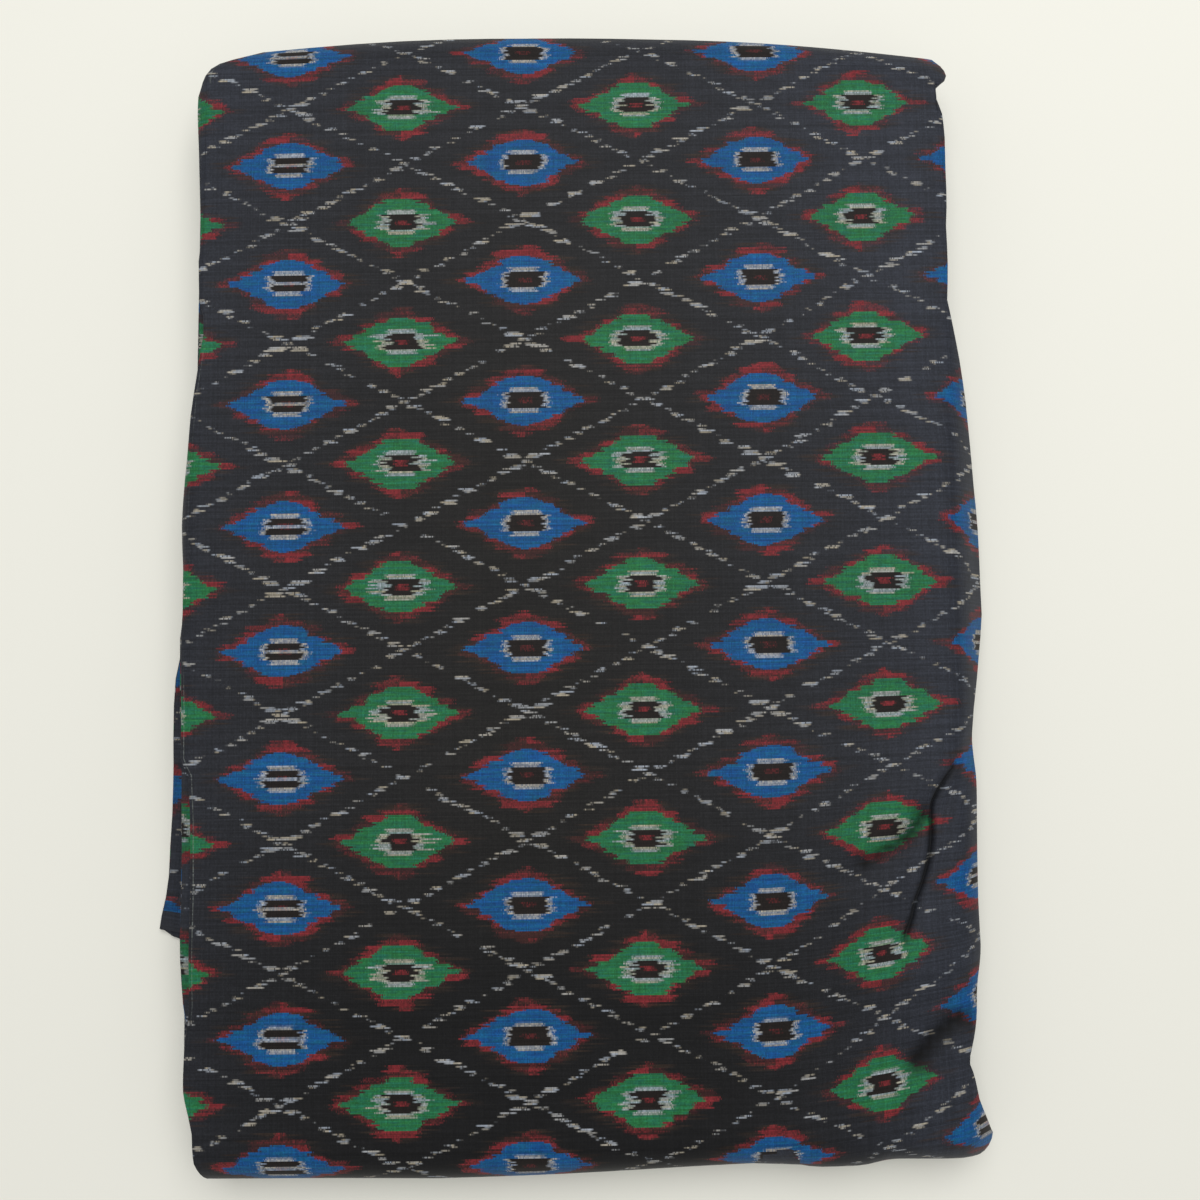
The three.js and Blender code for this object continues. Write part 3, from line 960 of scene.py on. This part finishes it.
# White dashes along the diamonds' sides: one in each tied group, made of uneven streaks, strong or faint by
# chance. They are longest just above and below the crossings in the columns of blue motifs
def dash_share(motif):
    number = (motif.row / TIE + 0.5).floor()
    middle_row = number * TIE
    off_row = (motif.row - middle_row).size()
    slanted_row = motif.row.chosen(middle_row, DASHES_SMOOTH)
    from_crossing = ((number - TIES / 2) / TIES).off_whole().size() * TIES
    beside_crossing = from_crossing.below(1.5, SHARP) - from_crossing.below(0.5, SHARP)
    total = None
    for sign in (1, -1):
        line = (motif.across + middle_row / ROW_PITCH * sign).floor()
        luck = chance(number, line, sign + 41)
        shift = chance(number, line, sign + 43) - 0.5
        pick_luck = chance(motif.pick, line, sign + 45)
        pick_shift = chance(motif.pick, line, sign + 47) - 0.5
        turn = ((number + line) * 0.5).fract().above(0.25)
        strength = (turn * 0.3 + luck * 0.6 + beside_crossing * 0.2 + 0.12).clamped()
        position = motif.across + slanted_row / ROW_PITCH * sign - 0.5
        off = position.off_whole() * COLUMN_PITCH + shift * DASH_STRAY + pick_shift * DASH_PICK_STRAY
        present = off_row.below(strength * DASH_HEIGHT_BY_STRENGTH + DASH_HEIGHT, DASH_HEIGHT_SOFT)
        half = strength * DASH_BY_STRENGTH + pick_luck * DASH_BY_PICK + DASH_LEAST
        half = (half + beside_crossing * DASH_BY_CROSSING) * present
        share = off.size().below(half, 1.0) * half.above(0.3)
        broken = motif.speck.above(strength * -0.6 + 0.62)
        share = share * (strength * 0.35 + pick_luck * 0.45 + 0.17).clamped() * (broken * 0.75 + 0.25)
        total = share if total is None else total.most(share)
    return total


# How much the depth of dye varies by weft yarn, by streak, by warp yarn and from one crossing to the next,
# and how dark the gaps between weft yarns are
YARN_DEPTH = 0.3
STREAK_DEPTH = 0.5
END_DEPTH = 0.24
SPECK_DEPTH = 0.36
GAP_DEPTH = 0.4
GAP_WIDTH = 0.25
GAP_SOFT = 0.15
STREAK_LENGTH = 9
STREAK_HEIGHT = 0.8


# A number from 0 to 1 made into a factor that varies by this depth around 1
def around_one(value, depth):
    return value * depth + (1 - depth / 2)


# Light and dark of the yarns: each pick has its own depth of dye, with a dark gap beside it, and streaks
def yarn_shade(motif, weft, warp):
    pick = around_one(chance(motif.pick, 51.0, 0.0), YARN_DEPTH)
    gap = (warp / PICK).fract().below(GAP_WIDTH, GAP_SOFT) * chance(motif.pick, 53.0, 0.0) * GAP_DEPTH
    streak = around_one(smooth_noise(weft / STREAK_LENGTH, warp / STREAK_HEIGHT), STREAK_DEPTH)
    ends = around_one(chance(motif.end, 0.0, 61.0), END_DEPTH)
    return pick * (-gap + 1.0) * streak * ends * around_one(motif.speck, SPECK_DEPTH)


# Painted sheen: where the ground turns lighter and bluish towards the edges and the far end; painted shade:
# where it turns darker towards the near end
SHEEN_ACROSS = 150
SHEEN_ALONG = 260
NEAR_SHADE_START = 100
NEAR_SHADE_RUN = 70
DYE_STREAK_LENGTH = 7
DYE_STREAK_HEIGHT = 0.9
# and how sharply the painted highlight along the bend fades off the crest column
BEND_HIGHLIGHT_POWER = 2.5


# The dyed pattern, laid over the ground from the haze up to the eyes, and then a painted highlight along the
# bend and painted shade in the creases
def ikat_colour(tree, weft, warp):
    motif = Motif(weft, warp)
    core, ring, haze = motif_shares(motif)
    white, black, red = eye_shares(motif)
    # painted sheen: the ground is lighter and bluish towards the sides and the far end; painted shade: darker
    # near
    across = (weft / SHEEN_ACROSS).math("POWER", 2.0)
    sheen_share = across + (warp.most(0.0) / SHEEN_ALONG).math("POWER", 2.0)
    ground = laid_over(tree, GROUND_COLOUR, GROUND_SHEEN_COLOUR, sheen_share.clamped())
    near = ((-warp - NEAR_SHADE_START) / NEAR_SHADE_RUN).clamped() * (-sheen_share + 1).clamped()
    ground = laid_over(tree, ground, GROUND_NEAR_SHADE_COLOUR, near)
    streak = smooth_noise(weft / DYE_STREAK_LENGTH, warp / DYE_STREAK_HEIGHT)
    blue = laid_over(tree, BLUE_COLOUR, BLUE_GREEN_COLOUR, (streak * 1.6 - 0.55).clamped() * 0.7)
    green = laid_over(tree, GREEN_COLOUR, BLUE_GREEN_COLOUR, (streak * 1.6 - 0.6).clamped() * 0.5)
    dyed = laid_over(tree, green, blue, motif.is_blue)
    pale = laid_over(tree, CREAM_COLOUR, COOL_COLOUR, chance(motif.pick, motif.number, 81.0))
    colour = laid_over(tree, ground, HAZE_COLOUR, haze)
    colour = laid_over(tree, colour, pale, dash_share(motif))
    colour = laid_over(tree, colour, RED_COLOUR, ring)
    colour = laid_over(tree, colour, dyed, core)
    colour = laid_over(tree, colour, pale, white * core)
    colour = laid_over(tree, colour, EYE_COLOUR, black * core)
    colour = laid_over(tree, colour, RED_COLOUR, red * core)
    colour = laid_over(tree, colour, ground, warp.above(PATTERN_END))
    # painted highlight: a pale line along the bend, where the fold catches light
    bend_highlight = mesh_field(tree, "bend_highlight").math("POWER", BEND_HIGHLIGHT_POWER)
    colour = laid_over(tree, colour, BEND_HIGHLIGHT_COLOUR, bend_highlight * (motif.speck * 0.6 + 0.2))
    scale = tree.nodes.new("ShaderNodeVectorMath")
    scale.operation = "SCALE"
    tree.links.new(colour, scale.inputs[0])
    lit = -mesh_field(tree, "shade") + 1.0
    tree.links.new((yarn_shade(motif, weft, warp) * lit).socket, scale.inputs["Scale"])
    return scale.outputs[0]


def cloth_material():
    material = bpy.data.materials.new("ikat_weave")
    material.use_nodes = True
    tree = material.node_tree
    shader = tree.nodes["Principled BSDF"]
    shader.inputs["Roughness"].default_value = 0.6
    shader.inputs["Specular IOR Level"].default_value = 0.14
    shader.inputs["Sheen Weight"].default_value = 0.05
    uv = tree.nodes.new("ShaderNodeUVMap")
    uv.uv_map = "weave"
    separate = tree.nodes.new("ShaderNodeSeparateXYZ")
    tree.links.new(uv.outputs["UV"], separate.inputs[0])
    weft = Field(tree, separate.outputs["X"]) / MM
    warp = Field(tree, separate.outputs["Y"]) / MM
    tree.links.new(ikat_colour(tree, weft, warp), shader.inputs["Base Color"])
    return material


def add_cloth():
    cloth = bpy.data.objects.new("cloth_folded", cloth_mesh())
    bpy.context.scene.collection.objects.link(cloth)
    cloth.data.materials.append(cloth_material())
    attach(cloth, "root")
    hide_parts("cloth")
    floor = add_floor()


# A plain floor, which only the picture needs
FLOOR_HALF = 2.5


def add_floor():
    corners = [(-FLOOR_HALF, -FLOOR_HALF, 0), (FLOOR_HALF, -FLOOR_HALF, 0)]
    corners += [(FLOOR_HALF, FLOOR_HALF, 0), (-FLOOR_HALF, FLOOR_HALF, 0)]
    mesh = bpy.data.meshes.new("floor")
    mesh.from_pydata(corners, [], [(0, 1, 2, 3)])
    floor = bpy.data.objects.new("floor", mesh)
    bpy.context.scene.collection.objects.link(floor)
    material = bpy.data.materials.new("pale_floor")
    material.use_nodes = True
    shader = material.node_tree.nodes["Principled BSDF"]
    shader.inputs["Base Color"].default_value = FLOOR_COLOUR
    shader.inputs["Roughness"].default_value = 0.9
    mesh.materials.append(material)
    return floor


# Soft light from all round, and a large lamp above
WORLD_STRENGTH = 0.42
LAMP_SIZE = 1.6
LAMP_ENERGY = 26
LAMP_PLACE = (0.15, 0.6, 1.6)
LAMP_TURN = (-20, 5, 0)


def add_light():
    world = bpy.data.worlds.new("studio")
    bpy.context.scene.world = world
    world.use_nodes = True
    background = world.node_tree.nodes["Background"]
    background.inputs["Color"].default_value = (1.0, 1.0, 1.0, 1.0)
    background.inputs["Strength"].default_value = WORLD_STRENGTH
    lamp = bpy.data.lights.new("overhead", "AREA")
    lamp.shape = "RECTANGLE"
    lamp.size = LAMP_SIZE
    lamp.size_y = LAMP_SIZE
    lamp.energy = LAMP_ENERGY
    lamp_object = bpy.data.objects.new("overhead", lamp)
    lamp_object.location = LAMP_PLACE
    lamp_object.rotation_euler = [math.radians(degrees) for degrees in LAMP_TURN]
    bpy.context.scene.collection.objects.link(lamp_object)


# The photograph's view: close above the bundle, and tilted a little
CAMERA_PLACE = (11.5, -43.5, 461.9)
CAMERA_TILT = 5.0


def add_camera():
    camera = bpy.data.objects.new("camera", bpy.data.cameras.new("camera"))
    camera.data.sensor_width = 36
    camera.data.lens = 36
    camera.data.clip_start = 0.01
    camera.location = [c * MM for c in CAMERA_PLACE]
    camera.rotation_euler = (math.radians(CAMERA_TILT), 0, 0)
    bpy.context.scene.collection.objects.link(camera)
    bpy.context.scene.camera = camera


bpy.context.scene.view_settings.view_transform = "Standard"
add_camera()
add_light()
add_cloth()
